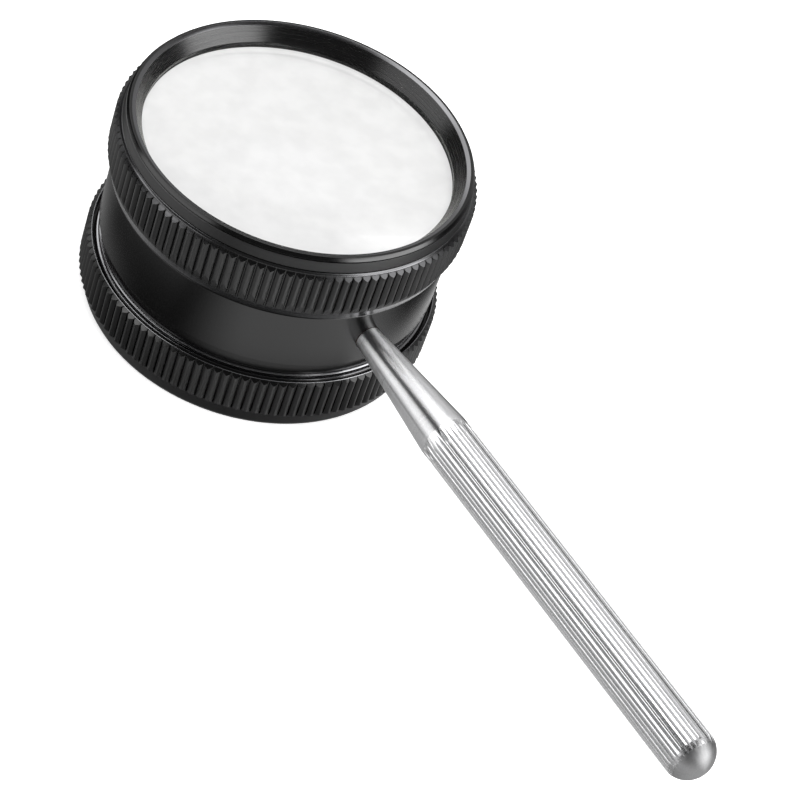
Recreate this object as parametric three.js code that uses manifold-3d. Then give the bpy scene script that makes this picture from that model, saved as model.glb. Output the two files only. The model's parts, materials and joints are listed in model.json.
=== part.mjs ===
// A hand-held magnifier: two plano-convex lenses in a short barrel, a knurled ring at
// each end that holds them in, and a ribbed metal handle that screws into the side.
// Millimetres. +Z runs along the optical axis with z = 0 on the lower rim, and +X runs
// along the handle. The origin is the centre of the footprint.

import * as THREE from "three";
import { mergeVertices } from "three/addons/utils/BufferGeometryUtils.js";
import Module from "manifold-3d";

const wasm = await Module();
wasm.setup();

// ---- driving dimensions -------------------------------------------------------

const HEIGHT = 35.4;              // lower rim to upper rim
const GAP = 0.3;                  // between pieces that turn on each other
const SEAT_GAP = 0.05;            // between pieces that rest on each other
const BEYOND = 1;                 // how far a cutter runs past a face

const LENS_RADIUS = 24.9;
const LENS_EDGE = 3;              // thickness at the rim of each lens
const LENS_CURVE = 60;            // radius of the convex face
const APERTURE_RADIUS = 24.2;     // clear opening of the rings

const BORE_RADIUS = 25.15;        // inside of the barrel
const SPIGOT_RADIUS = 25.9;       // threaded ends of the barrel
const BEAD_RADIUS = 26.85;        // the larger of two beads above the lower spigot
const BEAD_BOTTOM = 9;
const UNDERCUT_RADIUS = 26.05;    // between the beads and the waist
const WAIST_RADIUS = 26.8;
const WAIST_BOTTOM = 12.9;
const WAIST_TOP = 23.1;

const TEETH = 120;                // straight V teeth around each ring
const CREST_RADIUS = 28.2;
const ROOT_RADIUS = 27.5;
const RIM_RADIUS = 26.6;          // outer edge of the flat rim
const FLANGE_DEPTH = 3.05;        // rim to the face that presses on the gasket
const GASKET_THICKNESS = 0.55;
const SKIRT_DEPTH = HEIGHT - WAIST_TOP - GAP;   // rim to the upper ring's lower edge
const LOWER_RING_TOP = 10.15;
const COUNTERBORE_RADIUS = 27.2;  // lower ring, around the barrel's beads

const SPACER_INNER_RADIUS = 23.4;

const HANDLE_HEIGHT = 17.8;       // height of the handle's axis above the lower rim
const HANDLE_TIP = 112.7;         // from the optical axis
const RIBS = 32;
const GRIP_RADIUS = 3.95;
const GRIP_ROOT_RADIUS = 3.6;
const NECK_RADIUS = 2.05;         // where the handle meets the barrel
const SPOT_FACE = 26.25;          // floor of the handle's seat, from the optical axis
const WASHER_THICKNESS = 0.35;
const FOOT = SPOT_FACE + WASHER_THICKNESS + 2 * SEAT_GAP;
const STUD_RADIUS = 1.25;
const STUD_TIP = 23.9;
const STUD_HEAD = 30.4;           // end of the stud inside the neck

const BARREL_SEGMENTS = 72;
const LENS_SEGMENTS = 48;
const SMALL_SEGMENTS = 24;

// ---- materials ----------------------------------------------------------------

const material = (color, roughness, metalness) =>
  new THREE.MeshStandardMaterial({ color, roughness, metalness });

const blackAnodised = material(0x1c1c1e, 0.42, 0.6);
const brightMetal = material(0xd4d6d8, 0.22, 1);
const steel = material(0x9a9ca0, 0.35, 1);
const rubber = material(0x0b0b0c, 0.8, 0);
const whitePlastic = material(0xe9e9e6, 0.55, 0);
const fibre = material(0x2a2422, 0.85, 0);
const glass = new THREE.MeshStandardMaterial({
  color: 0xf2f5f5, roughness: 0.04, metalness: 0, transparent: true, opacity: 0.35,
});

// ---- shape helpers ------------------------------------------------------------

// Turns a profile of [radius, height] points about +Z.
function turned(profile, segments) {
  const points = profile.map(([radius, height]) => new THREE.Vector2(radius, height));
  return new THREE.LatheGeometry(points, segments).rotateX(Math.PI / 2);
}

// Turns a profile that closes on itself, which leaves a hole along the axis.
function turnedRing(profile, segments) {
  return turned([...profile, profile[0]], segments);
}

// Pulls every second column of a turned shape in to the root radius between two
// heights. That leaves straight V teeth there, one for every two columns.
function flute(geometry, rootRadius, lowest, highest) {
  const { position } = geometry.attributes;
  const rows = geometry.parameters.points.length;
  for (let i = 0; i < position.count; i += 1) {
    const isValley = Math.floor(i / rows) % 2 === 1;
    const height = position.getZ(i);
    const radius = Math.hypot(position.getX(i), position.getY(i));
    if (isValley && height >= lowest && height <= highest && radius > rootRadius) {
      const pull = rootRadius / radius;
      position.setXY(i, position.getX(i) * pull, position.getY(i) * pull);
    }
  }
  return geometry;
}

function toSolid(geometry) {
  const bare = geometry.clone();
  bare.deleteAttribute("normal");
  bare.deleteAttribute("uv");
  const merged = mergeVertices(bare);
  return new wasm.Manifold(new wasm.Mesh({
    numProp: 3,
    vertProperties: new Float32Array(merged.attributes.position.array),
    triVerts: new Uint32Array(merged.index.array),
  }));
}

function toGeometry(solid) {
  const mesh = solid.getMesh();
  const geometry = new THREE.BufferGeometry();
  geometry.setAttribute("position", new THREE.BufferAttribute(mesh.vertProperties, 3));
  geometry.setIndex(new THREE.BufferAttribute(mesh.triVerts, 1));
  geometry.computeVertexNormals();
  return geometry;
}

// A round cutter along the handle's axis, between two distances from the optical axis.
function handleDrill(radius, from, to) {
  return new THREE.CylinderGeometry(radius, radius, to - from, SMALL_SEGMENTS)
    .rotateZ(-Math.PI / 2)
    .translate((from + to) / 2, 0, HANDLE_HEIGHT);
}

function cut(geometry, ...cutters) {
  return toGeometry(cutters.reduce(
    (solid, cutter) => solid.subtract(toSolid(cutter)), toSolid(geometry)));
}

// Profile points of a dome, from its widest ring up to its top on the axis.
function dome(radius, bottom, top, steps) {
  const points = Array.from({ length: steps }, (_, step) => {
    const angle = (step / steps) * (Math.PI / 2);
    return [radius * Math.cos(angle), bottom + (top - bottom) * Math.sin(angle)];
  });
  return [...points, [0, top]];
}

// ---- barrel -------------------------------------------------------------------

// A tube with a threaded spigot at each end, a smooth waist that carries the handle,
// and two polished beads below an undercut. The handle's spot face and tapped hole are
// cut into the waist.
function barrel() {
  const end = FLANGE_DEPTH + GAP;
  const lowerBeadTop = 9.6;
  const upperBeadRadius = 26.45;
  const upperBeadBottom = 10.2;
  const upperBeadTop = 10.7;
  const bevel = 0.15;
  const profile = [
    [BORE_RADIUS, end],
    [SPIGOT_RADIUS, end],
    [SPIGOT_RADIUS, BEAD_BOTTOM],
    [BEAD_RADIUS, BEAD_BOTTOM],
    [BEAD_RADIUS, lowerBeadTop],
    [upperBeadRadius, upperBeadBottom],
    [UNDERCUT_RADIUS, upperBeadTop],
    [UNDERCUT_RADIUS, WAIST_BOTTOM],
    [WAIST_RADIUS - bevel, WAIST_BOTTOM],
    [WAIST_RADIUS, WAIST_BOTTOM + bevel],
    [WAIST_RADIUS, WAIST_TOP],
    [SPIGOT_RADIUS, WAIST_TOP],
    [SPIGOT_RADIUS, HEIGHT - end],
    [BORE_RADIUS, HEIGHT - end],
  ];
  return cut(
    turnedRing(profile, BARREL_SEGMENTS),
    handleDrill(NECK_RADIUS + GAP, SPOT_FACE, WAIST_RADIUS + BEYOND),
    handleDrill(STUD_RADIUS + GAP, BORE_RADIUS - BEYOND, SPOT_FACE + BEYOND),
  );
}

// ---- optics -------------------------------------------------------------------

const LENS_FACE = FLANGE_DEPTH + GASKET_THICKNESS + 2 * SEAT_GAP;

// Depth of the convex face below its edge at a given radius.
function sag(radius) {
  const edgeDrop = Math.sqrt(LENS_CURVE ** 2 - LENS_RADIUS ** 2);
  return Math.sqrt(LENS_CURVE ** 2 - radius ** 2) - edgeDrop;
}

// Flat on the outside and convex towards the middle of the barrel. The lens stands with
// its flat face down on LENS_FACE.
function lens() {
  const steps = 6;
  const bevel = 0.2;
  const convex = Array.from({ length: steps + 1 }, (_, step) => {
    const radius = LENS_RADIUS * (1 - step / steps);
    return [radius, LENS_FACE + LENS_EDGE + sag(radius)];
  });
  const profile = [
    [0, LENS_FACE],
    [LENS_RADIUS - bevel, LENS_FACE],
    [LENS_RADIUS, LENS_FACE + bevel],
    ...convex,
  ];
  return turned(profile, LENS_SEGMENTS);
}

// Tube that keeps the lenses apart. It bears on their convex faces just inside the edge,
// and a hole in its wall clears the tip of the handle's stud.
function spacerTube() {
  const end = LENS_FACE + LENS_EDGE + sag(SPACER_INNER_RADIUS) + SEAT_GAP;
  const profile = [
    [SPACER_INNER_RADIUS, end],
    [LENS_RADIUS, end],
    [LENS_RADIUS, HEIGHT - end],
    [SPACER_INNER_RADIUS, HEIGHT - end],
  ];
  return cut(
    turnedRing(profile, BARREL_SEGMENTS),
    handleDrill(STUD_RADIUS + 2 * GAP, SPACER_INNER_RADIUS - BEYOND, LENS_RADIUS + BEYOND),
  );
}

// ---- rings and gaskets --------------------------------------------------------

// Both rings are turned standing on their rims, so heights here are depths from the rim.
// The upper ring is turned over when it is placed.
const KNURL_START = 3.4;
const LIP = [
  [0, 0],
  [RIM_RADIUS, 0],
  [RIM_RADIUS + 0.4, 0.65],
  [ROOT_RADIUS, 2.95],
  [CREST_RADIUS, KNURL_START],
];

// The inner cone narrows from the rim to the clear aperture. The cutter starts outside
// the rim on the same cone.
const CONE_MOUTH_RADIUS = 25.6;
const CONE_DEPTH = 2.5;
const CONE_SLOPE = (CONE_MOUTH_RADIUS - APERTURE_RADIUS) / CONE_DEPTH;
const THREAD_RADIUS = SPIGOT_RADIUS + GAP;
const EYE_OPENING = [
  [0, -BEYOND],
  [CONE_MOUTH_RADIUS + CONE_SLOPE * BEYOND, -BEYOND],
  [APERTURE_RADIUS, CONE_DEPTH],
  [APERTURE_RADIUS, FLANGE_DEPTH],
  [THREAD_RADIUS, FLANGE_DEPTH],
];

// Turned outside with V teeth, then bored.
function knurledRing(outside, knurlEnd, bore) {
  const blank = flute(turned(outside, 2 * TEETH), ROOT_RADIUS, KNURL_START, knurlEnd);
  return cut(blank, turned(bore, BARREL_SEGMENTS));
}

// The upper ring has a long skirt with a shallow cone that runs the teeth out.
function upperKnurledRing() {
  const knurlEnd = 8.7;
  const runOutEnd = 10.6;
  const skirtEdgeRadius = 27.05;
  const outside = [
    ...LIP,
    [CREST_RADIUS, knurlEnd],
    [ROOT_RADIUS, runOutEnd],
    [skirtEdgeRadius, SKIRT_DEPTH],
    [0, SKIRT_DEPTH],
  ];
  const bore = [
    ...EYE_OPENING,
    [THREAD_RADIUS, SKIRT_DEPTH + BEYOND],
    [0, SKIRT_DEPTH + BEYOND],
  ];
  return knurledRing(outside, knurlEnd, bore);
}

// The lower ring ends in a narrow land and a counterbore that clears the beads.
function lowerKnurledRing() {
  const knurlEnd = 9.7;
  const landRadius = ROOT_RADIUS + 0.15;
  const counterboreDepth = BEAD_BOTTOM - 0.5;
  const outside = [
    ...LIP,
    [CREST_RADIUS, knurlEnd],
    [landRadius, LOWER_RING_TOP],
    [0, LOWER_RING_TOP],
  ];
  const bore = [
    ...EYE_OPENING,
    [THREAD_RADIUS, counterboreDepth],
    [COUNTERBORE_RADIUS, counterboreDepth],
    [COUNTERBORE_RADIUS, LOWER_RING_TOP + BEYOND],
    [0, LOWER_RING_TOP + BEYOND],
  ];
  return knurledRing(outside, knurlEnd, bore);
}

// Flat rubber ring between a knurled ring's flange and its lens.
function gasket() {
  const bottom = FLANGE_DEPTH + SEAT_GAP;
  const top = bottom + GASKET_THICKNESS;
  const inner = APERTURE_RADIUS + SEAT_GAP;
  const profile = [[inner, bottom], [LENS_RADIUS, bottom], [LENS_RADIUS, top], [inner, top]];
  return turnedRing(profile, LENS_SEGMENTS);
}

// ---- handle -------------------------------------------------------------------

// Turned about +Z with heights measured from the optical axis, then laid along +X.
function layAlongHandle(geometry) {
  return geometry.rotateY(Math.PI / 2).translate(0, 0, HANDLE_HEIGHT);
}

// One bar: a smooth tapered neck, a ribbed grip and a domed end, with a blind hole in
// the foot for the stud.
function handle() {
  const footBevel = 0.15;
  const taperEnd = 47.8;
  const ribStart = 50.5;          // full depth, after a short run-out
  const ribEnd = 108.8;
  const domeStart = 109.6;
  const domeStep = 0.15;          // the dome is this much slimmer than the grip
  const profile = [
    [0, FOOT],
    [NECK_RADIUS - footBevel, FOOT],
    [NECK_RADIUS, FOOT + footBevel],
    [GRIP_RADIUS, taperEnd],
    [GRIP_RADIUS, ribStart],
    [GRIP_RADIUS, ribEnd],
    ...dome(GRIP_RADIUS - domeStep, domeStart, HANDLE_TIP, 5),
  ];
  const bar = flute(turned(profile, 2 * RIBS), GRIP_ROOT_RADIUS, ribStart, ribEnd);
  const studHole = handleDrill(STUD_RADIUS + GAP, FOOT - BEYOND, STUD_HEAD + GAP);
  return cut(layAlongHandle(bar), studHole);
}

// Threaded pin, modelled at its outside diameter with a bevelled tip.
function handleStud() {
  const bevel = 0.3;
  const profile = [
    [0, STUD_TIP],
    [STUD_RADIUS - bevel, STUD_TIP],
    [STUD_RADIUS, STUD_TIP + bevel],
    [STUD_RADIUS, STUD_HEAD],
    [0, STUD_HEAD],
  ];
  return layAlongHandle(turned(profile, SMALL_SEGMENTS));
}

// Thin washer in the spot face, under the foot of the neck.
function handleWasher() {
  const near = SPOT_FACE + SEAT_GAP;
  const far = near + WASHER_THICKNESS;
  const inner = STUD_RADIUS + GAP;
  const profile = [[inner, near], [NECK_RADIUS, near], [NECK_RADIUS, far], [inner, far]];
  return layAlongHandle(turnedRing(profile, SMALL_SEGMENTS));
}

// ---- assembly -----------------------------------------------------------------

function piece(name, geometry, finish) {
  const mesh = new THREE.Mesh(geometry, finish);
  mesh.name = name;
  return mesh;
}

// Turned over about +X, so that what stands on the lower rim hangs from the upper one.
const upperEnd = new THREE.Group();
upperEnd.rotation.x = Math.PI;
upperEnd.position.z = HEIGHT;
upperEnd.add(
  piece("upper_knurled_ring", upperKnurledRing(), blackAnodised),
  piece("upper_gasket", gasket(), rubber),
  piece("upper_lens", lens(), glass),
);

const lowerEnd = new THREE.Group();
lowerEnd.add(
  piece("lower_knurled_ring", lowerKnurledRing(), blackAnodised),
  piece("lower_gasket", gasket(), rubber),
  piece("lower_lens", lens(), glass),
);

const magnifier = new THREE.Group();
magnifier.add(
  piece("barrel", barrel(), blackAnodised),
  piece("spacer_tube", spacerTube(), whitePlastic),
  upperEnd,
  lowerEnd,
  piece("handle", handle(), brightMetal),
  piece("handle_stud", handleStud(), steel),
  piece("handle_washer", handleWasher(), fibre),
);
magnifier.position.x = (CREST_RADIUS - HANDLE_TIP) / 2;

const group = new THREE.Group();
group.add(magnifier);

export default group;
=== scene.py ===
"""Looks for a hand-held magnifier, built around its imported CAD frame.

Shapes are in millimetres and are scaled to metres when a mesh is made. Every CAD solid
is replaced by a finer piece of the same size: turned, knurled, threaded or polished.
Heights run along +Z from the lower rim, and the handle lies along +X.
"""

import json
import math

import bmesh
import bpy
import numpy as np
from mathutils import Matrix, Vector

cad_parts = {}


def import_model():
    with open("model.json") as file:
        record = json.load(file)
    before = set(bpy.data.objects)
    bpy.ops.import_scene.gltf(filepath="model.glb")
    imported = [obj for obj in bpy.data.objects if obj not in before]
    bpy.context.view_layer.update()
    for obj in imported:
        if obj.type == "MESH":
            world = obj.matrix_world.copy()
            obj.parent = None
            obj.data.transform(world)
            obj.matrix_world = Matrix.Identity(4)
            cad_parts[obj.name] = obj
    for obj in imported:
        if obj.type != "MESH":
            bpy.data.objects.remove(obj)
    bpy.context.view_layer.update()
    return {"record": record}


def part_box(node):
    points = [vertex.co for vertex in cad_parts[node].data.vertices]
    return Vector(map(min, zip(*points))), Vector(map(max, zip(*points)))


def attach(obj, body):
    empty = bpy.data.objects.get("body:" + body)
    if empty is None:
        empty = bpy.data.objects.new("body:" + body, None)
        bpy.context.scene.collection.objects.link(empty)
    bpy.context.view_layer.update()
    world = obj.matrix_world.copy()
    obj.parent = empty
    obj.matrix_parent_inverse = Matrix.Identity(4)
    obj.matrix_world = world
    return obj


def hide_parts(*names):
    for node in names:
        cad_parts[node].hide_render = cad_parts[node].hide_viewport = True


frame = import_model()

MM = 0.001


def box_mm(node):
    low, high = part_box(node)
    return np.array(low) / MM, np.array(high) / MM


# ---- sizes from the frame ---------------------------------------------------------

RING_LOW, RING_HIGH = box_mm("upper_knurled_ring")
LOWER_RING_HIGH = box_mm("lower_knurled_ring")[1]
BARREL_LOW, BARREL_HIGH = box_mm("barrel")
HANDLE_LOW, HANDLE_HIGH = box_mm("handle")
STUD_LOW, STUD_HIGH = box_mm("handle_stud")
WASHER_LOW, WASHER_HIGH = box_mm("handle_washer")

AXIS_X = (RING_LOW[0] + RING_HIGH[0]) / 2        # the optical axis
TOP = RING_HIGH[2]                               # the upper rim
SKIRT_EDGE = RING_LOW[2]                         # lower edge of the upper ring
CREST = (RING_HIGH[0] - RING_LOW[0]) / 2         # knurl crests
BEAD = (BARREL_HIGH[0] - BARREL_LOW[0]) / 2      # largest radius of the barrel
LOWER_RING_TOP = LOWER_RING_HIGH[2]
HANDLE_Z = (HANDLE_LOW[2] + HANDLE_HIGH[2]) / 2
GRIP = (HANDLE_HIGH[2] - HANDLE_LOW[2]) / 2      # radius over the ribs
HANDLE_FOOT = HANDLE_LOW[0] - AXIS_X             # along the handle, from the optical axis
TIP = HANDLE_HIGH[0] - AXIS_X

# ---- driving dimensions that the frame doesn't state ------------------------------

# The head: radii from the optical axis and heights from the lower rim.
TEETH = 120
ROOT = CREST - 0.67              # valleys of the knurl, just above its shoulders
SHOULDER = CREST - 0.7           # turned lands at both ends of the knurl
APERTURE = 24.2                  # clear opening of the rings
RING_PITCH = 0.75                # thread of the rings
MALE_CREST = 25.95
MALE_ROOT = 25.45
FEMALE_CREST = 26.05
FEMALE_ROOT = 26.5
BORE = 25.15
WAIST = 26.8
WAIST_BOTTOM = 12.9
WAIST_TOP = 23.1
CHANNEL = 26.05                  # floor of the channel under the waist
BEAD_BOTTOM = 9.0
FLANGE = 3.05                    # from a ring's rim to the face that presses on the gasket
LIP_EDGE = 25.56                 # inner edge of the small chamfer on the rim
CONE_END = 2.52                  # depth of the cone inside a ring's rim
LINE_EDGE = 27.36                # inner edge of the bright line on top of the lower ring

# The handle.
RIBS = 32
RIB_DEPTH = 0.35
NECK = 2.05
TAPER_END = 47.7                 # along the handle, from the optical axis
RIB_START = 51.5                 # along it too: the grooves have their full depth from here
DOME_START = TIP - 3.7
RUN_OUT = 13.0                   # radius of the cutter's way out of the metal
STUD_PITCH = 0.45

COARSE = 240                     # columns around a large turned surface
SLIM = 64                        # columns around the stud, the washer and round holes
LENS_COLUMNS = 192


# ---- mesh building ----------------------------------------------------------------

class Surface:
    """Rings of points around an axis, with a skin of faces between them."""

    def __init__(self):
        self.points = []
        self.faces = []

    def ring(self, angles, radius, height):
        """One point for each angle. Radius and height are numbers or arrays."""
        first = len(self.points)
        radius = np.broadcast_to(radius, angles.shape)
        height = np.broadcast_to(height, angles.shape)
        self.points.extend(zip(radius * np.cos(angles), radius * np.sin(angles), height))
        return list(range(first, first + len(angles)))

    def rings(self, angles, outline):
        return [self.ring(angles, radius, height) for radius, height in outline]

    def skin(self, rings):
        for near, far in zip(rings, rings[1:]):
            for i in range(len(near)):
                j = (i + 1) % len(near)
                self.faces.append((near[i], near[j], far[j], far[i]))

    def bridge(self, fine, coarse):
        """Joins two flat rings when the fine one has several columns for each coarse one."""
        share = len(fine) // len(coarse)
        for i in range(len(coarse)):
            arc = [fine[(i * share + k) % len(fine)] for k in range(share, -1, -1)]
            self.faces.append((coarse[i], coarse[(i + 1) % len(coarse)], *arc))

    def cap(self, ring, height):
        """Closes a ring with triangles to a point on the axis."""
        centre = len(self.points)
        self.points.append((0.0, 0.0, height))
        for i in range(len(ring)):
            self.faces.append((ring[i], ring[(i + 1) % len(ring)], centre))

    def object(self, name, placement):
        mesh = bpy.data.meshes.new(name)
        mesh.from_pydata([tuple(p) for p in self.points], [], self.faces)
        mesh.transform(Matrix.Scale(MM, 4) @ placement)
        piece = bpy.data.objects.new(name, mesh)
        bpy.context.scene.collection.objects.link(piece)
        face_outwards(mesh)
        return piece


HEAD = Matrix.Translation((AXIS_X, 0, 0))
UPSIDE_DOWN = Matrix.Translation((AXIS_X, 0, TOP)) @ Matrix.Rotation(math.pi, 4, "X")
ALONG_HANDLE = Matrix.Translation((AXIS_X, 0, HANDLE_Z)) @ Matrix.Rotation(math.pi / 2, 4, "Y")


def face_outwards(mesh):
    work = bmesh.new()
    work.from_mesh(mesh)
    bmesh.ops.recalc_face_normals(work, faces=work.faces)
    work.to_mesh(mesh)
    work.free()


def circle(columns):
    return np.arange(columns) * 2 * math.pi / columns


def rounded(outline, radius=0.035, steps=3):
    """The outline with each inner corner replaced by a small curve."""
    points = [np.array(p, float) for p in outline]
    result = [points[0]]
    for before, corner, after in zip(points, points[1:], points[2:]):
        legs = (before - corner, after - corner)
        lengths = [np.linalg.norm(leg) for leg in legs]
        reach = min(radius, 0.45 * min(lengths))
        start, end = (corner + leg / length * reach for leg, length in zip(legs, lengths))
        for t in np.linspace(0, 1, steps + 1):
            result.append((1 - t) ** 2 * start + 2 * t * (1 - t) * corner + t ** 2 * end)
    result.append(points[-1])
    return result


def wave(share, softness):
    """0 in the valley at share 0 and 1 on the crest at 0.5, with straight flanks."""
    from_crest = np.abs(2 * (np.asarray(share) % 1) - 1)
    span = math.hypot(1, softness) - softness
    slope = np.hypot(from_crest, softness) - np.hypot(1 - from_crest, softness)
    return 0.5 - 0.5 * slope / span


def columns_of(count, half_tooth):
    """Angles around count equal teeth, and the height share of each column.

    Half a tooth is given as (share of the pitch, height share), from valley to crest.
    """
    other_half = [(1 - share, height) for share, height in half_tooth[-2:0:-1]]
    shares, heights = np.array(half_tooth + other_half).T
    angles = (np.arange(count)[:, None] + shares) * 2 * math.pi / count
    return angles.ravel(), np.tile(heights, count)


def threaded(surface, angles, start, end, base, crest, pitch):
    """Rings of a screw thread. It fades into the base radius at both ends."""
    rows = max(2, round(abs(end - start) / pitch * 10))
    made = []
    for height in np.linspace(start, end, rows + 1):
        to_end = min(abs(height - start), abs(height - end))
        fade = min(1.0, to_end / (0.6 * pitch))
        profile = wave(height / pitch - angles / (2 * math.pi), 0.15)
        made.append(surface.ring(angles, base + (crest - base) * fade * profile, height))
    return made


def at_radius(line, radius):
    """Height at which a straight outline segment has the given radius."""
    (r0, h0), (r1, h1) = line
    return h0 + (radius - r0) / (r1 - r0) * (h1 - h0)


# ---- materials --------------------------------------------------------------------

GRAIN_SHARE = 0.2                # depth of the skin's grain for each depth of a turning line
VEIL = 0.85                      # share of a lens face that shows as white haze, which glows with painted light
HAZE = 0.22                      # how much light the haze scatters
HAZE_PAINTED_GLOW = 0.6                  # painted glow: light that the haze gives off itself


class Graph:
    """The node tree of a material or world. Inputs are numbers, colours or outputs."""

    def __init__(self, owner):
        self.owner = owner
        self.owner.use_nodes = True
        self.tree = self.owner.node_tree
        self.tree.nodes.clear()

    def node(self, kind, inputs=None, **settings):
        made = self.tree.nodes.new("ShaderNode" + kind)
        for key, value in settings.items():
            setattr(made, key, value)
        for key, value in (inputs or {}).items():
            if isinstance(value, bpy.types.NodeSocket):
                self.tree.links.new(value, made.inputs[key])
            else:
                made.inputs[key].default_value = value
        return made.outputs[0]

    def math(self, operation, first, second=0.0):
        return self.node("Math", {0: first, 1: second}, operation=operation)

    def remap(self, value, low, high, from_low=0.0, from_high=1.0, kind="LINEAR"):
        inputs = {"Value": value, "From Min": from_low, "From Max": from_high,
                  "To Min": low, "To Max": high}
        return self.node("MapRange", inputs, clamp=True, interpolation_type=kind)

    def mirrored(self):
        """1 for a ray that a shiny surface has mirrored, else 0."""
        path = self.node("LightPath").node
        through = self.math("SUBTRACT", 1.0, path.outputs["Is Transmission Ray"])
        return self.math("MULTIPLY", path.outputs["Is Glossy Ray"], through)

    def position(self):
        """Object coordinates in millimetres, as three separate values."""
        coordinates = self.node("TexCoord").node.outputs["Object"]
        scaled = self.node("VectorMath", {0: coordinates, "Scale": 1 / MM}, operation="SCALE")
        split = self.node("SeparateXYZ", {0: scaled}).node
        return split.outputs[0], split.outputs[1], split.outputs[2]

    def finish(self, shader, output="ShaderNodeOutputMaterial"):
        end = self.tree.nodes.new(output)
        self.tree.links.new(shader, end.inputs["Surface"])
        return self.owner


def material_graph(name):
    return Graph(bpy.data.materials.new(name))


def length_of(graph, first, second):
    """Length of a vector with these two parts."""
    squares = [graph.math("MULTIPLY", side, side) for side in (first, second)]
    return graph.math("SQRT", graph.math("ADD", *squares))


def turned_coordinates(graph, along_handle=False):
    """(radius, distance along the axis, angle) about the axis a piece is turned on."""
    x, y, z = graph.position()
    if along_handle:
        across, along = graph.math("SUBTRACT", z, HANDLE_Z), x
    else:
        across, along = graph.math("SUBTRACT", x, AXIS_X), z
    return length_of(graph, across, y), along, graph.math("ARCTAN2", y, across)


def turning_lines(graph, along_handle, per_mm, wander):
    """Noise that is the same all the way round, but for a slow wander."""
    radius, along, angle = turned_coordinates(graph, along_handle)
    vector = graph.node("CombineXYZ", {
        0: graph.math("MULTIPLY", radius, per_mm),
        1: graph.math("MULTIPLY", along, per_mm),
        2: graph.math("MULTIPLY", graph.math("SINE", angle), wander),
    })
    return graph.node("TexNoise", {"Vector": vector, "Scale": 1.0, "Detail": 3.0, "Roughness": 0.6})


def grain(graph, per_mm, detail=4.0):
    """Fine noise in space."""
    coordinates = graph.node("TexCoord").node.outputs["Object"]
    return graph.node("TexNoise", {"Vector": coordinates, "Scale": per_mm / MM, "Detail": detail})


def bumped(graph, height, distance_mm, strength=1.0, normal=None):
    inputs = {"Height": height, "Distance": distance_mm * MM, "Strength": strength}
    if normal is not None:
        inputs["Normal"] = normal
    return graph.node("Bump", inputs)


def crest_sheen_and_wear_mask(graph):
    """1 on the crests of the knurl, 0 just below them."""
    radius, _, _ = turned_coordinates(graph)
    return graph.remap(radius, 0.0, 1.0, CREST - 0.05, CREST)


def turned_metal(graph, axis, roughness, stretch, inputs):
    """A shiny solid whose turning lines stretch its highlights along the turned axis."""
    return graph.node("BsdfPrincipled", {
        "Roughness": roughness,
        "Anisotropic": stretch,
        "Anisotropic Rotation": 0.25,
        "Tangent": graph.node("Tangent", direction_type="RADIAL", axis=axis),
        **inputs,
    })


def black_anodised(name, tone, roughness, unevenness, line_depth, crest_sheen_and_wear=0.0):
    """Black oxide over turned aluminium. The crests of the knurl are lighter: partly worn, partly a
    painted highlight where light catches them.
    """
    graph = material_graph(name)
    lines = turning_lines(graph, False, 5.0, 0.6)
    specks = grain(graph, 9.0)
    # Crests lighter by colour: a painted highlight, partly wear.
    colour = graph.node("MixRGB", {
        "Fac": crest_sheen_and_wear_mask(graph),
        "Color1": (tone, tone, tone * 1.03, 1),
        "Color2": (crest_sheen_and_wear, crest_sheen_and_wear, crest_sheen_and_wear, 1),
    })
    turned = bumped(graph, lines, line_depth, 0.6)
    uneven = graph.remap(lines, roughness - unevenness, roughness + unevenness, 0.3, 0.7)
    shader = turned_metal(graph, "Z", uneven, 0.7, {
        "Base Color": colour,
        "IOR": 1.6,
        "Normal": bumped(graph, specks, GRAIN_SHARE * line_depth, 0.35, turned),
    })
    return graph.finish(shader)


def polished_land(name, tone):
    """Narrow lands where the turning tool has left the metal bright."""
    graph = material_graph(name)
    lines = turning_lines(graph, False, 9.0, 0.4)
    shader = graph.node("BsdfPrincipled", {
        "Base Color": (tone, tone, tone * 1.03, 1),
        "Metallic": 1.0,
        "Roughness": graph.remap(lines, 0.12, 0.26, 0.3, 0.7),
        "Normal": bumped(graph, lines, 0.004, 0.5),
    })
    return graph.finish(shader)


def bright_metal(name, tone, roughness, stretch, per_mm, line_depth):
    """Bare metal of the handle, turned about the handle's own axis."""
    graph = material_graph(name)
    lines = turning_lines(graph, True, per_mm, 0.5)
    specks = grain(graph, 6.0)
    colour = graph.node("MixRGB", {
        "Fac": graph.remap(specks, 0.0, 1.0, 0.35, 0.65),
        "Color1": (tone * 0.9, tone * 0.9, tone * 0.91, 1),
        "Color2": (tone, tone, tone * 1.01, 1),
    })
    turned = bumped(graph, lines, line_depth, 0.6)
    uneven = graph.remap(lines, roughness - 0.05, roughness + 0.08, 0.3, 0.7)
    shader = turned_metal(graph, "X", uneven, stretch, {
        "Base Color": colour,
        "Metallic": 1.0,
        "Normal": bumped(graph, specks, 0.003, 0.3, turned),
    })
    return graph.finish(shader)


def threaded_steel():
    """Plain steel of the stud."""
    graph = material_graph("stud_steel")
    specks = grain(graph, 14.0)
    shader = graph.node("BsdfPrincipled", {
        "Base Color": (0.42, 0.42, 0.43, 1),
        "Metallic": 1.0,
        "Roughness": graph.remap(specks, 0.22, 0.42, 0.3, 0.7),
        "Normal": bumped(graph, specks, 0.004, 0.4),
    })
    return graph.finish(shader)


def matt(name, dark, light, per_mm, roughness, depth_mm):
    """A matt solid with mottled colour and a fine rough skin."""
    graph = material_graph(name)
    specks = grain(graph, per_mm)
    colour = graph.node("MixRGB", {
        "Fac": graph.remap(specks, 0.0, 1.0, 0.3, 0.7),
        "Color1": (*dark, 1),
        "Color2": (*light, 1),
    })
    shader = graph.node("BsdfPrincipled", {
        "Base Color": colour,
        "Roughness": roughness,
        "Normal": bumped(graph, specks, depth_mm, 0.6),
    })
    return graph.finish(shader)


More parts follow.
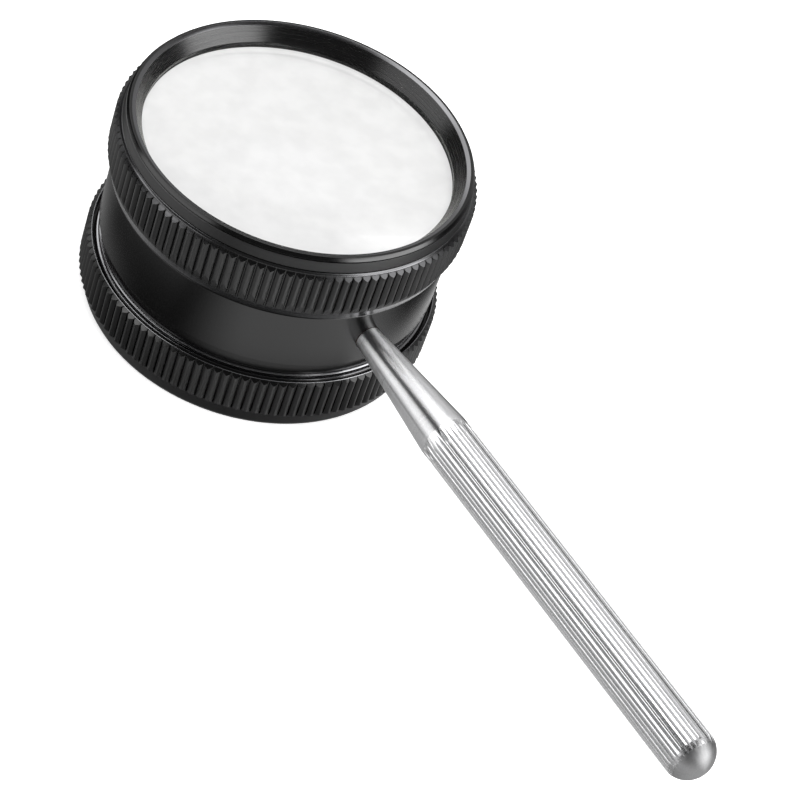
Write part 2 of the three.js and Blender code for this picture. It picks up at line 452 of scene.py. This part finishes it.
def lens_glass():
    """Clear glass under a white haze that glows with painted light of its own. Light and mirrored rays
    pass it unbent.
    """
    graph = material_graph("lens_glass")
    path = graph.node("LightPath").node
    smears = grain(graph, 0.25, 2.0)
    glass = graph.node("BsdfGlass", {
        "Color": (1, 1, 1, 1),
        "Roughness": graph.remap(smears, 0.0, 0.012, 0.4, 0.7),
        "IOR": 1.5,
    })
    painted_glow = graph.remap(smears, HAZE_PAINTED_GLOW - 0.03, HAZE_PAINTED_GLOW + 0.03, 0.35, 0.65)
    # The haze glows with painted light: its emission keeps the lens white however it is lit.
    veil = graph.node("BsdfPrincipled", {
        "Base Color": (HAZE, HAZE, HAZE, 1),
        "Roughness": 1.0,
        "Specular IOR Level": 0.0,
        "Emission Color": (1, 1, 1, 1),
        "Emission Strength": painted_glow,
    })
    outside = graph.math("SUBTRACT", 1.0, graph.node("NewGeometry").node.outputs["Backfacing"])
    faced = graph.node("MixShader", {0: graph.math("MULTIPLY", outside, VEIL), 1: glass, 2: veil})
    clear = graph.node("BsdfTransparent")
    passes = graph.math("MAXIMUM", path.outputs["Is Shadow Ray"], path.outputs["Is Diffuse Ray"])
    passes = graph.math("MAXIMUM", passes, graph.mirrored())
    return graph.finish(graph.node("MixShader", {0: passes, 1: faced, 2: clear}))


# The black parts. The depth of the turning lines is in millimetres.
BLACK = black_anodised("black_anodised", tone=0.0015, roughness=0.21, unevenness=0.01,
                       line_depth=0.0008)
BLACK_CONE = black_anodised("black_cone", tone=0.004, roughness=0.26, unevenness=0.08,
                            line_depth=0.04)
# The lighter crests of the knurl are a painted highlight, partly wear.
BLACK_TEETH = black_anodised("black_knurl", tone=0.006, roughness=0.5, unevenness=0.05,
                             line_depth=0.01, crest_sheen_and_wear=0.02)
# The foot is painted lighter than the other black parts: painted light for the bright floor it
# mirrors.
BLACK_FOOT_PAINTED_LIGHT = black_anodised("black_foot_painted_light", tone=0.009, roughness=0.4, unevenness=0.03,
                            line_depth=0.003)
LAND = polished_land("polished_land", tone=0.3)
RIM_LAND = polished_land("rim_land", tone=0.18)
TOOTH_END = polished_land("tooth_ends", tone=0.09)

# The handle.
TURNED = bright_metal("handle_neck", tone=0.88, roughness=0.32, stretch=0.95,
                      per_mm=7.0, line_depth=0.02)
BRIGHT = bright_metal("handle_metal", tone=0.92, roughness=0.16, stretch=0.8,
                      per_mm=7.0, line_depth=0.006)
# The grooves are a darker copy of the handle metal: painted shade in the recesses.
GROOVE_PAINTED_SHADE = bright_metal("handle_grooves_painted_shade", tone=0.6, roughness=0.26, stretch=0.5,
                      per_mm=7.0, line_depth=0.006)
SATIN = bright_metal("handle_satin", tone=0.36, roughness=0.48, stretch=0.5,
                     per_mm=10.0, line_depth=0.01)
STEEL = threaded_steel()
FIBRE = matt("washer_fibre", dark=(0.03, 0.022, 0.018), light=(0.08, 0.06, 0.05),
             per_mm=8.0, roughness=0.8, depth_mm=0.03)

# What the rings hold.
GLASS = lens_glass()
RUBBER = matt("gasket_rubber", dark=(0.008, 0.008, 0.008), light=(0.02, 0.02, 0.02),
              per_mm=5.0, roughness=0.75, depth_mm=0.02)
WHITE = matt("spacer_plastic", dark=(0.84, 0.84, 0.82), light=(0.9, 0.9, 0.88),
             per_mm=1.5, roughness=0.5, depth_mm=0.01)


# ---- finishing a piece ------------------------------------------------------------

def stands_for(piece, node, material):
    """The piece takes a CAD node's place on the body that the node rides on."""
    body = next(name for name, nodes in frame["record"]["behaviour"]["bodies"].items()
                if node in nodes)
    piece.data.materials.append(material)
    piece.data.shade_smooth()
    piece.data.set_sharp_from_angle(angle=math.radians(35))
    weighted = piece.modifiers.new("even_shading", "WEIGHTED_NORMAL")
    weighted.keep_sharp = True
    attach(piece, body)
    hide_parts(node)


def finish_where(piece, material, is_there):
    """Gives another material to the faces whose centre (x, y, z), in mm, passes the test."""
    if material.name not in piece.data.materials:
        piece.data.materials.append(material)
    index = piece.data.materials.find(material.name)
    for face in piece.data.polygons:
        if is_there(*(face.center / MM)):
            face.material_index = index


def add_finish(piece, material, is_there):
    """The same by a test of the distance from the optical axis and the height, in mm."""
    finish_where(piece, material, lambda x, y, z: is_there(math.hypot(x - AXIS_X, y), z))


def cut_away(piece, cutter):
    """Subtracts the cutter from the piece and removes the cutter."""
    cut = piece.modifiers.new("cut", "BOOLEAN")
    cut.operation = "DIFFERENCE"
    cut.solver = "EXACT"
    cut.object = cutter
    evaluated = piece.evaluated_get(bpy.context.evaluated_depsgraph_get())
    result = bpy.data.meshes.new_from_object(evaluated)
    piece.modifiers.remove(cut)
    piece.data = result
    bpy.data.objects.remove(cutter)


# ---- knurled rings ----------------------------------------------------------------

# Depths are measured from the rim. The upper ring is turned over when it is placed.
INNER_LIP = [
    (26.22, 0), (26.15, 0), (LIP_EDGE, 0.25), (APERTURE, CONE_END), (APERTURE, FLANGE),
]
# Blunt V teeth with a narrow flat-bottomed groove between them.
HALF_TOOTH = [(0, 0), (0.035, 0), (0.07, 0.3), (0.16, 0.52), (0.32, 0.79), (0.43, 0.955), (0.5, 1)]
VALLEY_SHADE_TOP = ROOT + 0.3 * (CREST - ROOT)        # faces below this get the darker black: painted shade in the valleys


def knurl(surface, angles, heights, near, far):
    """The teeth between two turned shoulders. They end where they meet the shoulder cones."""
    radius = ROOT + (CREST - ROOT) * heights
    start = at_radius(near, radius)
    end = at_radius(far, radius)
    return [surface.ring(angles, radius, start + (end - start) * t) for t in np.linspace(0, 1, 5)]


def knurled_ring(name, placement, before, near, far, after, inside):
    """Outside: the lip, the knurl, the far end. Inside: back through the thread."""
    surface = Surface()
    angles, heights = columns_of(TEETH, HALF_TOOTH)
    outside = surface.rings(angles, rounded(before))
    outside += knurl(surface, angles, heights, near, far)
    outside += surface.rings(angles, rounded(after))
    surface.skin(outside)
    inner = inside(surface, circle(COARSE))
    surface.skin(inner)
    surface.bridge(outside[-1], inner[0])
    surface.bridge(outside[0], inner[-1])
    return surface.object(name, placement)


def upper_ring_inside(surface, angles):
    skirt = TOP - SKIRT_EDGE
    rings = surface.rings(angles, [(26.62, skirt), (FEMALE_ROOT, skirt - 0.1)])
    rings += ring_thread(surface, angles, skirt - 0.15)
    return rings + surface.rings(angles, rounded([(APERTURE + 0.3, FLANGE)] + INNER_LIP[::-1]))


def ring_thread(surface, angles, start):
    """The inner thread, and the relief between it and the flange."""
    rings = threaded(surface, angles, start, FLANGE + 0.6, FEMALE_ROOT, FEMALE_CREST, RING_PITCH)
    relief = [(FEMALE_ROOT, FLANGE + 0.05), (FEMALE_ROOT - 0.05, FLANGE)]
    return rings + surface.rings(angles, relief)


# Finishes of the narrow turned bands outside the upper ring, by depth from the rim.
UPPER_BANDS = [
    (BLACK, 0, 0.7), (BLACK, 2.4, 2.6), (RIM_LAND, 2.6, 2.87), (BLACK, 2.87, 2.98),
    (LAND, 10.65, 13),
]


def upper_knurled_ring():
    skirt = TOP - SKIRT_EDGE
    near = ((SHOULDER, 2.98), (CREST, 3.45))
    far = ((CREST, 8.7), (SHOULDER, 10.6))
    before = [
        (26.4, 0), (26.57, 0), (26.94, 0.52),            # rim and its chamfer
        (26.8, 0.58), (26.8, 0.66), (27.02, 0.72),       # fine groove
        (27.2, 2.4),                                     # broad band
        (27.02, 2.46), (27.02, 2.54), (27.22, 2.6),      # fine groove
        (SHOULDER, 2.86), near[0],                       # bright chamfer
    ]
    after = [(SHOULDER, 10.62), (27.1, skirt - 0.08), (27.0, skirt)]
    piece = knurled_ring("upper_knurled_ring_fine", UPSIDE_DOWN, before, near, far, after,
                         upper_ring_inside)
    stands_for(piece, "upper_knurled_ring", BLACK_TEETH)
    add_finish(piece, BLACK, lambda r, z: r < FEMALE_ROOT + 0.15)
    add_finish(piece, BLACK_CONE, lambda r, z: r < LIP_EDGE and z > TOP - CONE_END + 0.02)
    add_finish(piece, RIM_LAND, lambda r, z: LIP_EDGE < r < 26.18 and z > TOP - 0.3)
    for material, low, high in UPPER_BANDS:
        add_finish(piece, material, lambda r, z: r > 26.65 and low < TOP - z < high)
    add_finish(piece, TOOTH_END, lambda r, z: r > SHOULDER and z > TOP - at_radius(near, r) - 0.1)
    # Painted shade: the valleys of the knurl get the darker black.
    add_finish(piece, BLACK, lambda r, z: SHOULDER < r < VALLEY_SHADE_TOP)


def lower_ring_inside(surface, angles):
    step = BEAD_BOTTOM - 0.5
    rings = surface.rings(angles, rounded([
        (LINE_EDGE, LOWER_RING_TOP), (27.2, LOWER_RING_TOP - 0.2), (27.2, step),
        (FEMALE_ROOT + 0.1, step), (FEMALE_ROOT, step - 0.1),
    ]))
    rings += ring_thread(surface, angles, step - 0.15)
    return rings + surface.rings(angles, rounded([(APERTURE + 0.3, FLANGE)] + INNER_LIP[::-1]))


def lower_knurled_ring():
    near = ((SHOULDER, 2.94), (CREST, 3.4))
    far = ((CREST, 9.6), (SHOULDER, 10.0))
    before = [(26.4, 0), (26.6, 0), (27.0, 0.65), (SHOULDER, 2.85), near[0]]
    after = [
        (SHOULDER, 10.01), (SHOULDER + 0.02, 10.08), (SHOULDER - 0.03, LOWER_RING_TOP),
        (LINE_EDGE + 0.04, LOWER_RING_TOP),
    ]
    piece = knurled_ring("lower_knurled_ring_fine", HEAD, before, near, far, after,
                         lower_ring_inside)
    stands_for(piece, "lower_knurled_ring", BLACK_TEETH)
    add_finish(piece, BLACK, lambda r, z: r < LINE_EDGE and z > 2.9 or r < 26.5)
    # Painted light: the foot gets a lighter black.
    add_finish(piece, BLACK_FOOT_PAINTED_LIGHT, lambda r, z: r > 26.5 and z < 2.9)
    add_finish(piece, BLACK, lambda r, z: r > SHOULDER and z > at_radius(far, r) - 0.1)
    # Painted shade: the valleys of the knurl get the darker black.
    add_finish(piece, BLACK, lambda r, z: SHOULDER < r < VALLEY_SHADE_TOP)
    add_finish(piece, LAND, lambda r, z: LINE_EDGE < r < 27.6 and z > LOWER_RING_TOP - 0.13)
    return piece


# ---- barrel -----------------------------------------------------------------------

# From the channel down: a small polished bead, a groove and the broad bead, which fits in
# the mouth of the lower ring.
BEADS = [
    (CHANNEL, 10.7), (26.3, 10.66), (26.46, 10.5), (26.46, 10.2), (26.2, 10.04),
    (26.2, 9.94), (26.62, 9.86), (BEAD, 9.64), (BEAD, BEAD_BOTTOM), (MALE_ROOT, BEAD_BOTTOM),
]


def barrel():
    """A waisted tube, threaded at both ends, with a seat and a tapped hole for the handle."""
    end = BARREL_LOW[2]
    surface = Surface()
    angles = circle(COARSE)
    rings = surface.rings(angles, rounded([
        (BORE, TOP / 2), (BORE, BARREL_HIGH[2]), (MALE_ROOT, BARREL_HIGH[2]),
    ]))
    thread = (MALE_ROOT, MALE_CREST, RING_PITCH)
    rings += threaded(surface, angles, BARREL_HIGH[2] - 0.1, WAIST_TOP + 0.5, *thread)
    rings += surface.rings(angles, rounded([
        (MALE_ROOT, WAIST_TOP), (WAIST - 0.1, WAIST_TOP), (WAIST, WAIST_TOP - 0.1),
        (WAIST, WAIST_BOTTOM + 0.12), (WAIST - 0.12, WAIST_BOTTOM), (CHANNEL, WAIST_BOTTOM),
    ] + BEADS))
    rings += threaded(surface, angles, BEAD_BOTTOM - 0.4, end + 0.1, *thread)
    rings += surface.rings(angles, rounded([(MALE_ROOT, end), (BORE, end), (BORE, end + 1)]))
    surface.skin(rings + [rings[0]])
    piece = surface.object("barrel_fine", HEAD)
    cut_away(piece, round_cutter(NECK + 0.08, WASHER_LOW[0] - AXIS_X - 0.05, WAIST + 1))
    cut_away(piece, round_cutter(1.4, BORE - 1, WAIST))
    stands_for(piece, "barrel", BLACK)
    add_finish(piece, LAND, lambda r, z: r > 26.15 and 9.8 < z < 10.69)


def round_cutter(radius, start, end):
    """A rod on the handle's axis, to cut holes with."""
    surface = Surface()
    rings = surface.rings(circle(SLIM), [(radius, start), (radius, end)])
    surface.skin(rings)
    surface.cap(rings[0], start)
    surface.cap(rings[1], end)
    return surface.object("cutter", ALONG_HANDLE)


# ---- optics -----------------------------------------------------------------------

def lens(name, placement, node):
    """Flat outside, domed inside."""
    low, high = box_mm(node)
    radius = (high[0] - low[0]) / 2
    thickness = high[2] - low[2]
    face = low[2] if placement is HEAD else TOP - high[2]
    edge = 3.0
    curve = (radius ** 2 + (thickness - edge) ** 2) / (2 * (thickness - edge))
    bevel = 0.2
    surface = Surface()
    flat = [(radius * share, face) for share in (0.25, 0.5, 0.75)]
    side = [(radius - bevel, face), (radius, face + bevel), (radius, face + edge - bevel)]
    dome = []
    for share in np.linspace(0.992, 0.04, 25):
        drop = curve - math.sqrt(curve ** 2 - (radius * share) ** 2)
        dome.append((radius * share, face + thickness - drop))
    rings = surface.rings(circle(LENS_COLUMNS), flat + side + dome)
    surface.skin(rings)
    surface.cap(rings[0], face)
    surface.cap(rings[-1], face + thickness)
    piece = surface.object(name, placement)
    stands_for(piece, node, GLASS)


def flat_ring(name, placement, columns, inner, outer, bottom, top, softness):
    """A washer, gasket or tube with softened corners."""
    middle = (bottom + top) / 2
    surface = Surface()
    outline = rounded([
        (inner, middle), (inner, bottom), (outer, bottom), (outer, top), (inner, top), (inner, middle),
    ], softness)[:-1]
    rings = surface.rings(circle(columns), outline)
    surface.skin(rings + [rings[0]])
    return surface.object(name, placement)


def gasket(name, node):
    low, high = box_mm(node)
    outer = (high[0] - low[0]) / 2
    piece = flat_ring(name, HEAD, COARSE, inner=APERTURE + 0.05, outer=outer,
                      bottom=low[2], top=high[2], softness=0.22)
    stands_for(piece, node, RUBBER)


def spacer_tube():
    low, high = box_mm("spacer_tube")
    outer = (high[0] - low[0]) / 2
    piece = flat_ring("spacer_tube_fine", HEAD, COARSE, inner=outer - 1.5, outer=outer,
                      bottom=low[2], top=high[2], softness=0.2)
    cut_away(piece, round_cutter(1.85, outer - 3, outer + 1))
    stands_for(piece, "spacer_tube", WHITE)


# ---- handle -----------------------------------------------------------------------

# Flat lands with a V groove between them. A land stays just under its full height, so
# that its run-out keeps a length.
HALF_RIB = [(0, 0.985), (0.1, 0.985), (0.2, 0.985), (0.25, 0.93), (0.47, 0.06), (0.5, 0)]


def handle():
    angles, heights = columns_of(RIBS, HALF_RIB)
    spare = RIB_DEPTH * (1 - heights)
    hole_end = STUD_HIGH[0] - AXIS_X + 0.2
    surface = Surface()
    rings = neck(surface, angles, hole=1.35, hole_end=hole_end)
    rings += groove_starts(surface, angles, spare)
    rings += grip_and_dome(surface, angles, spare)
    surface.skin(rings)
    surface.cap(rings[0], hole_end)
    surface.cap(rings[-1], TIP)
    piece = surface.object("handle_fine", ALONG_HANDLE)
    stands_for(piece, "handle", BRIGHT)
    handle_finishes(piece)


def neck(surface, angles, hole, hole_end):
    """The blind hole for the stud, the foot and the taper up to the grip."""
    return surface.rings(angles, rounded([
        (hole * 0.5, hole_end), (hole, hole_end), (hole, HANDLE_FOOT), (NECK - 0.12, HANDLE_FOOT),
        (NECK, HANDLE_FOOT + 0.15), (GRIP, TAPER_END), (GRIP, TAPER_END + 0.6),
    ], 0.1))


def groove_starts(surface, angles, spare):
    """Each groove rises out of the metal along the cutter's circle."""
    lead = np.sqrt(RUN_OUT ** 2 - (RUN_OUT - spare) ** 2)
    rings = []
    for t in np.linspace(0, 1, 9):
        along = RIB_START - lead * (1 - t)
        rise = RUN_OUT - np.sqrt(RUN_OUT ** 2 - (RIB_START - along) ** 2)
        rings.append(surface.ring(angles, GRIP - spare + rise, along))
    return rings


def grip_and_dome(surface, angles, spare):
    """The ribbed length, and a dome that is turned across the ends of its grooves."""
    radius = GRIP - spare
    height = TIP - DOME_START
    reach = DOME_START + height * np.sqrt(1 - (radius / (GRIP + 0.002)) ** 2)
    rings = [surface.ring(angles, radius, RIB_START + (reach - RIB_START) * t)
             for t in (0.25, 0.5, 0.75, 1)]
    first = np.arcsin((reach - DOME_START) / height)
    for t in np.linspace(0, 1, 15)[1:-1]:
        angle = first + (math.pi / 2 - first) * t
        rings.append(surface.ring(angles, GRIP * np.cos(angle), DOME_START + height * np.sin(angle)))
    return rings


def handle_finishes(piece):
    """Turned neck, satin dome, and grooves between the bright ribs painted darker, a painted shade in
    the recesses.
    """
    neck_end = AXIS_X + RIB_START - 3.2
    satin_start = AXIS_X + DOME_START + 1.3
    floor_of_groove = GRIP - 0.25 * RIB_DEPTH
    finish_where(piece, TURNED, lambda x, y, z: x < neck_end)
    finish_where(piece, GROOVE_PAINTED_SHADE, lambda x, y, z: (
        x >= neck_end and math.hypot(y, z - HANDLE_Z) < floor_of_groove))
    finish_where(piece, SATIN, lambda x, y, z: x > satin_start)


def handle_stud():
    start = STUD_LOW[0] - AXIS_X
    end = STUD_HIGH[0] - AXIS_X
    radius = (STUD_HIGH[2] - STUD_LOW[2]) / 2
    root = radius - 0.28
    surface = Surface()
    angles = circle(SLIM)
    rings = surface.rings(angles, [(root * 0.5, start), (root - 0.05, start), (root, start + 0.05)])
    rings += threaded(surface, angles, start + 0.1, end - 0.1, root, radius, STUD_PITCH)
    rings += surface.rings(angles, [(root, end - 0.05), (root - 0.05, end), (root * 0.5, end)])
    surface.skin(rings)
    surface.cap(rings[0], start)
    surface.cap(rings[-1], end)
    piece = surface.object("handle_stud_fine", ALONG_HANDLE)
    stands_for(piece, "handle_stud", STEEL)


def handle_washer():
    near = WASHER_LOW[0] - AXIS_X
    far = WASHER_HIGH[0] - AXIS_X
    piece = flat_ring("handle_washer_fine", ALONG_HANDLE, SLIM, inner=1.5, outer=NECK,
                      bottom=near, top=far, softness=0.08)
    stands_for(piece, "handle_washer", FIBRE)


# ---- stage ------------------------------------------------------------------------

VIEW_AZIMUTH = 41.558            # of the camera's own axis, counted as direction() counts it
VIEW_ELEVATION = 43.143
VIEW_ROLL = 21.235               # clockwise lean of the object in the picture
VIEW_DISTANCE = 0.40584
VIEW_CENTRE = (-0.00279, -0.00243)
LENS_MM = 124.14


def direction(azimuth, elevation):
    """Unit vector from the object towards a place round it. Azimuth 0 is at -Y."""
    a, e = math.radians(azimuth), math.radians(elevation)
    return Vector((math.sin(a) * math.cos(e), -math.cos(a) * math.cos(e), math.sin(e)))


def camera():
    data = bpy.data.cameras.new("camera")
    data.lens = LENS_MM
    data.sensor_width = 36
    data.clip_start = 0.01
    made = bpy.data.objects.new("camera", data)
    back = direction(VIEW_AZIMUTH, VIEW_ELEVATION)
    centre = Vector((*VIEW_CENTRE, HANDLE_Z * MM))
    facing = back.to_track_quat("Z", "Y").to_matrix().to_4x4()
    roll = Matrix.Rotation(math.radians(VIEW_ROLL), 4, "Z")
    made.matrix_world = Matrix.Translation(centre + back * VIEW_DISTANCE) @ facing @ roll
    bpy.context.scene.collection.objects.link(made)
    bpy.context.scene.camera = made


def overhead_light(azimuth, elevation, distance, size, power):
    """A soft area light that looks at the head. Azimuth is counted from the camera's."""
    data = bpy.data.lights.new("overhead", "AREA")
    data.shape = "RECTANGLE"
    data.size = size
    data.size_y = size
    data.energy = power
    made = bpy.data.objects.new("overhead", data)
    back = direction(VIEW_AZIMUTH + azimuth, elevation)
    facing = back.to_track_quat("Z", "Y").to_matrix().to_4x4()
    target = Vector((AXIS_X * MM, 0, TOP * MM / 2))
    made.matrix_world = Matrix.Translation(target + back * distance) @ facing
    made.visible_glossy = False
    bpy.context.scene.collection.objects.link(made)


# Panels that shiny surfaces mirror: (azimuth from the camera's, elevation, width,
# height, softness, brightness), with angles in degrees.
CARDS = [
    (-133, 62, 124, 24, 5, 2.8),     # large, high on the left
    (-135, 38, 40, 24, 8, 1.5),      # below it, further back
    (100, 47, 66, 26, 6, 2.8),       # high on the right
    (78, 13, 52, 32, 6, 5.0),        # low on the right
    (-60, 13, 60, 38, 4, 1.6),       # low on the left
    (180, 22, 90, 44, 10, 0.5),      # behind
]
ROOM = 0.05                      # brightness between the panels
PLAIN_LIGHT = 0.9                # of the room, for everything but mirrored rays
PAPER_GLOW = 0.55                # lifts the paper to white and thins its shadows

# Rings of the floor that shiny surfaces mirror: (reach in mm, sectors). A sector is
# (azimuth from the camera's, full brightness within, no light beyond, brightness),
# with angles in degrees.
FLOOR_RINGS = [
    (38, [(95, 32, 42, 1.0), (-95, 22, 55, 0.35)]),
    (56, [(34, 24, 61, 0.93), (-116, 15, 38, 0.16), (172, 15, 60, 0.3)]),
    (1000, [(34, 24, 61, 0.93), (-66, 30, 50, 0.9), (172, 15, 60, 0.3)]),
]
FLOOR_GLOOM = 0.02               # brightness of the floor outside the sectors
ASIDE_GLOW = 0.38                # as seen by rays that don't head out from the optical axis


def angle_from(graph, azimuth, middle):
    """How far an azimuth is from one that is counted from the camera's, in radians."""
    turn = graph.math("SUBTRACT", azimuth, math.radians(VIEW_AZIMUTH + middle))
    return graph.math("ABSOLUTE", graph.node(
        "Math", {0: turn, 1: math.pi, 2: -math.pi}, operation="WRAP"))


def card(graph, azimuth, elevation, panel):
    """Brightness of one soft-edged panel as seen in the direction (azimuth, elevation)."""
    middle, height_middle, width, height, softness, brightness = panel
    aside = angle_from(graph, azimuth, middle)
    above = graph.math("ABSOLUTE", graph.math("SUBTRACT", elevation, math.radians(height_middle)))
    value = brightness
    for away, size in ((aside, width), (above, height)):
        inner, outer = math.radians(size / 2 - softness), math.radians(size / 2 + softness)
        value = graph.math("MULTIPLY", graph.remap(away, 1, 0, inner, outer, "SMOOTHSTEP"), value)
    return value


def world():
    graph = Graph(bpy.data.worlds.new("studio"))
    towards = graph.node("TexCoord").node.outputs["Generated"]
    split = graph.node("SeparateXYZ", {0: towards}).node
    x, y, z = split.outputs
    azimuth = graph.math("ARCTAN2", x, graph.math("MULTIPLY", y, -1.0))
    elevation = graph.math("ARCSINE", z)
    mirrored = ROOM
    for panel in CARDS:
        mirrored = graph.math("ADD", card(graph, azimuth, elevation, panel), mirrored)
    plain = graph.node("Background", {"Color": (1, 1, 1, 1), "Strength": PLAIN_LIGHT})
    studio = graph.node("Background", {"Color": (1, 1, 1, 1), "Strength": mirrored})
    shader = graph.node("MixShader", {0: graph.mirrored(), 1: plain, 2: studio})
    bpy.context.scene.world = graph.finish(shader, "ShaderNodeOutputWorld")


def sector(graph, azimuth, middle, inner, outer, brightness):
    """Brightness that one sector adds to the floor at an azimuth."""
    aside = angle_from(graph, azimuth, middle)
    return graph.remap(aside, brightness, 0, math.radians(inner), math.radians(outer), "SMOOTHSTEP")


def heading_out(graph, x, y, distance):
    """1 where a ray arrives on its way out from the optical axis, 0 where it doesn't."""
    back = graph.node("NewGeometry").node.outputs["Incoming"]
    back_x, back_y, _ = graph.node("SeparateXYZ", {0: back}).node.outputs
    inwards = graph.math("ADD", graph.math("MULTIPLY", back_x, x), graph.math("MULTIPLY", back_y, y))
    sizes = graph.math("MULTIPLY", distance, length_of(graph, back_x, back_y))
    return graph.remap(graph.math("DIVIDE", inwards, sizes), 1, 0, -0.7, -0.3, "SMOOTHSTEP")


def floor_glow(graph):
    """Brightness of the floor as shiny surfaces mirror it."""
    x, y, _ = graph.position()
    x = graph.math("SUBTRACT", x, AXIS_X)
    distance = length_of(graph, x, y)
    azimuth = graph.math("ARCTAN2", x, graph.math("MULTIPLY", y, -1.0))
    glow = 0.0
    inner = 0.0
    for reach, sectors in FLOOR_RINGS:
        ring = FLOOR_GLOOM
        for bright in sectors:
            ring = graph.math("ADD", sector(graph, azimuth, *bright), ring)
        beyond = graph.remap(distance, 0, 1, inner * 0.9, inner * 1.1 + 0.1)
        glow = graph.node("Mix", {0: beyond, 2: glow, 3: ring})
        inner = reach
    out = heading_out(graph, x, y, distance)
    return graph.node("Mix", {0: out, 2: ASIDE_GLOW, 3: glow})


def floor(foot):
    """White paper under the foot, lit so evenly that shadows are faint.

    It stays under the foot in every pose, and a camera below it looks through it.
    """
    bpy.ops.mesh.primitive_plane_add(size=6)
    made = bpy.context.object
    made.name = "floor"
    graph = material_graph("floor_paper")
    specks = grain(graph, 0.8)
    paper = graph.node("BsdfPrincipled", {
        "Base Color": (0.93, 0.93, 0.93, 1),
        "Roughness": 0.85,
        "Specular IOR Level": 0.1,
        "Emission Color": (1, 1, 1, 1),
        "Emission Strength": PAPER_GLOW,
        "Normal": bumped(graph, specks, 0.01, 0.2),
    })
    glow = graph.node("Emission", {"Strength": floor_glow(graph)})
    above = graph.node("MixShader", {0: graph.mirrored(), 1: paper, 2: glow})
    camera_ray = graph.node("LightPath").node.outputs["Is Camera Ray"]
    under = graph.math("MULTIPLY", graph.node("NewGeometry").node.outputs["Backfacing"], camera_ray)
    clear = graph.node("BsdfTransparent")
    shader = graph.node("MixShader", {0: under, 1: above, 2: clear})
    made.data.materials.append(graph.finish(shader))
    stands_on = made.constraints.new("COPY_LOCATION")
    stands_on.target = foot
    stands_on.use_x = False
    stands_on.use_y = False


def stage(foot):
    floor(foot)
    world()
    overhead_light(azimuth=60, elevation=70, distance=0.9, size=0.9, power=6)
    bpy.context.scene.view_settings.view_transform = "Standard"


# ---- assembly ---------------------------------------------------------------------

barrel()
upper_knurled_ring()
foot = lower_knurled_ring()
lens("upper_lens_fine", UPSIDE_DOWN, "upper_lens")
lens("lower_lens_fine", HEAD, "lower_lens")
gasket("upper_gasket_fine", "upper_gasket")
gasket("lower_gasket_fine", "lower_gasket")
spacer_tube()
handle()
handle_stud()
handle_washer()
stage(foot)
camera()
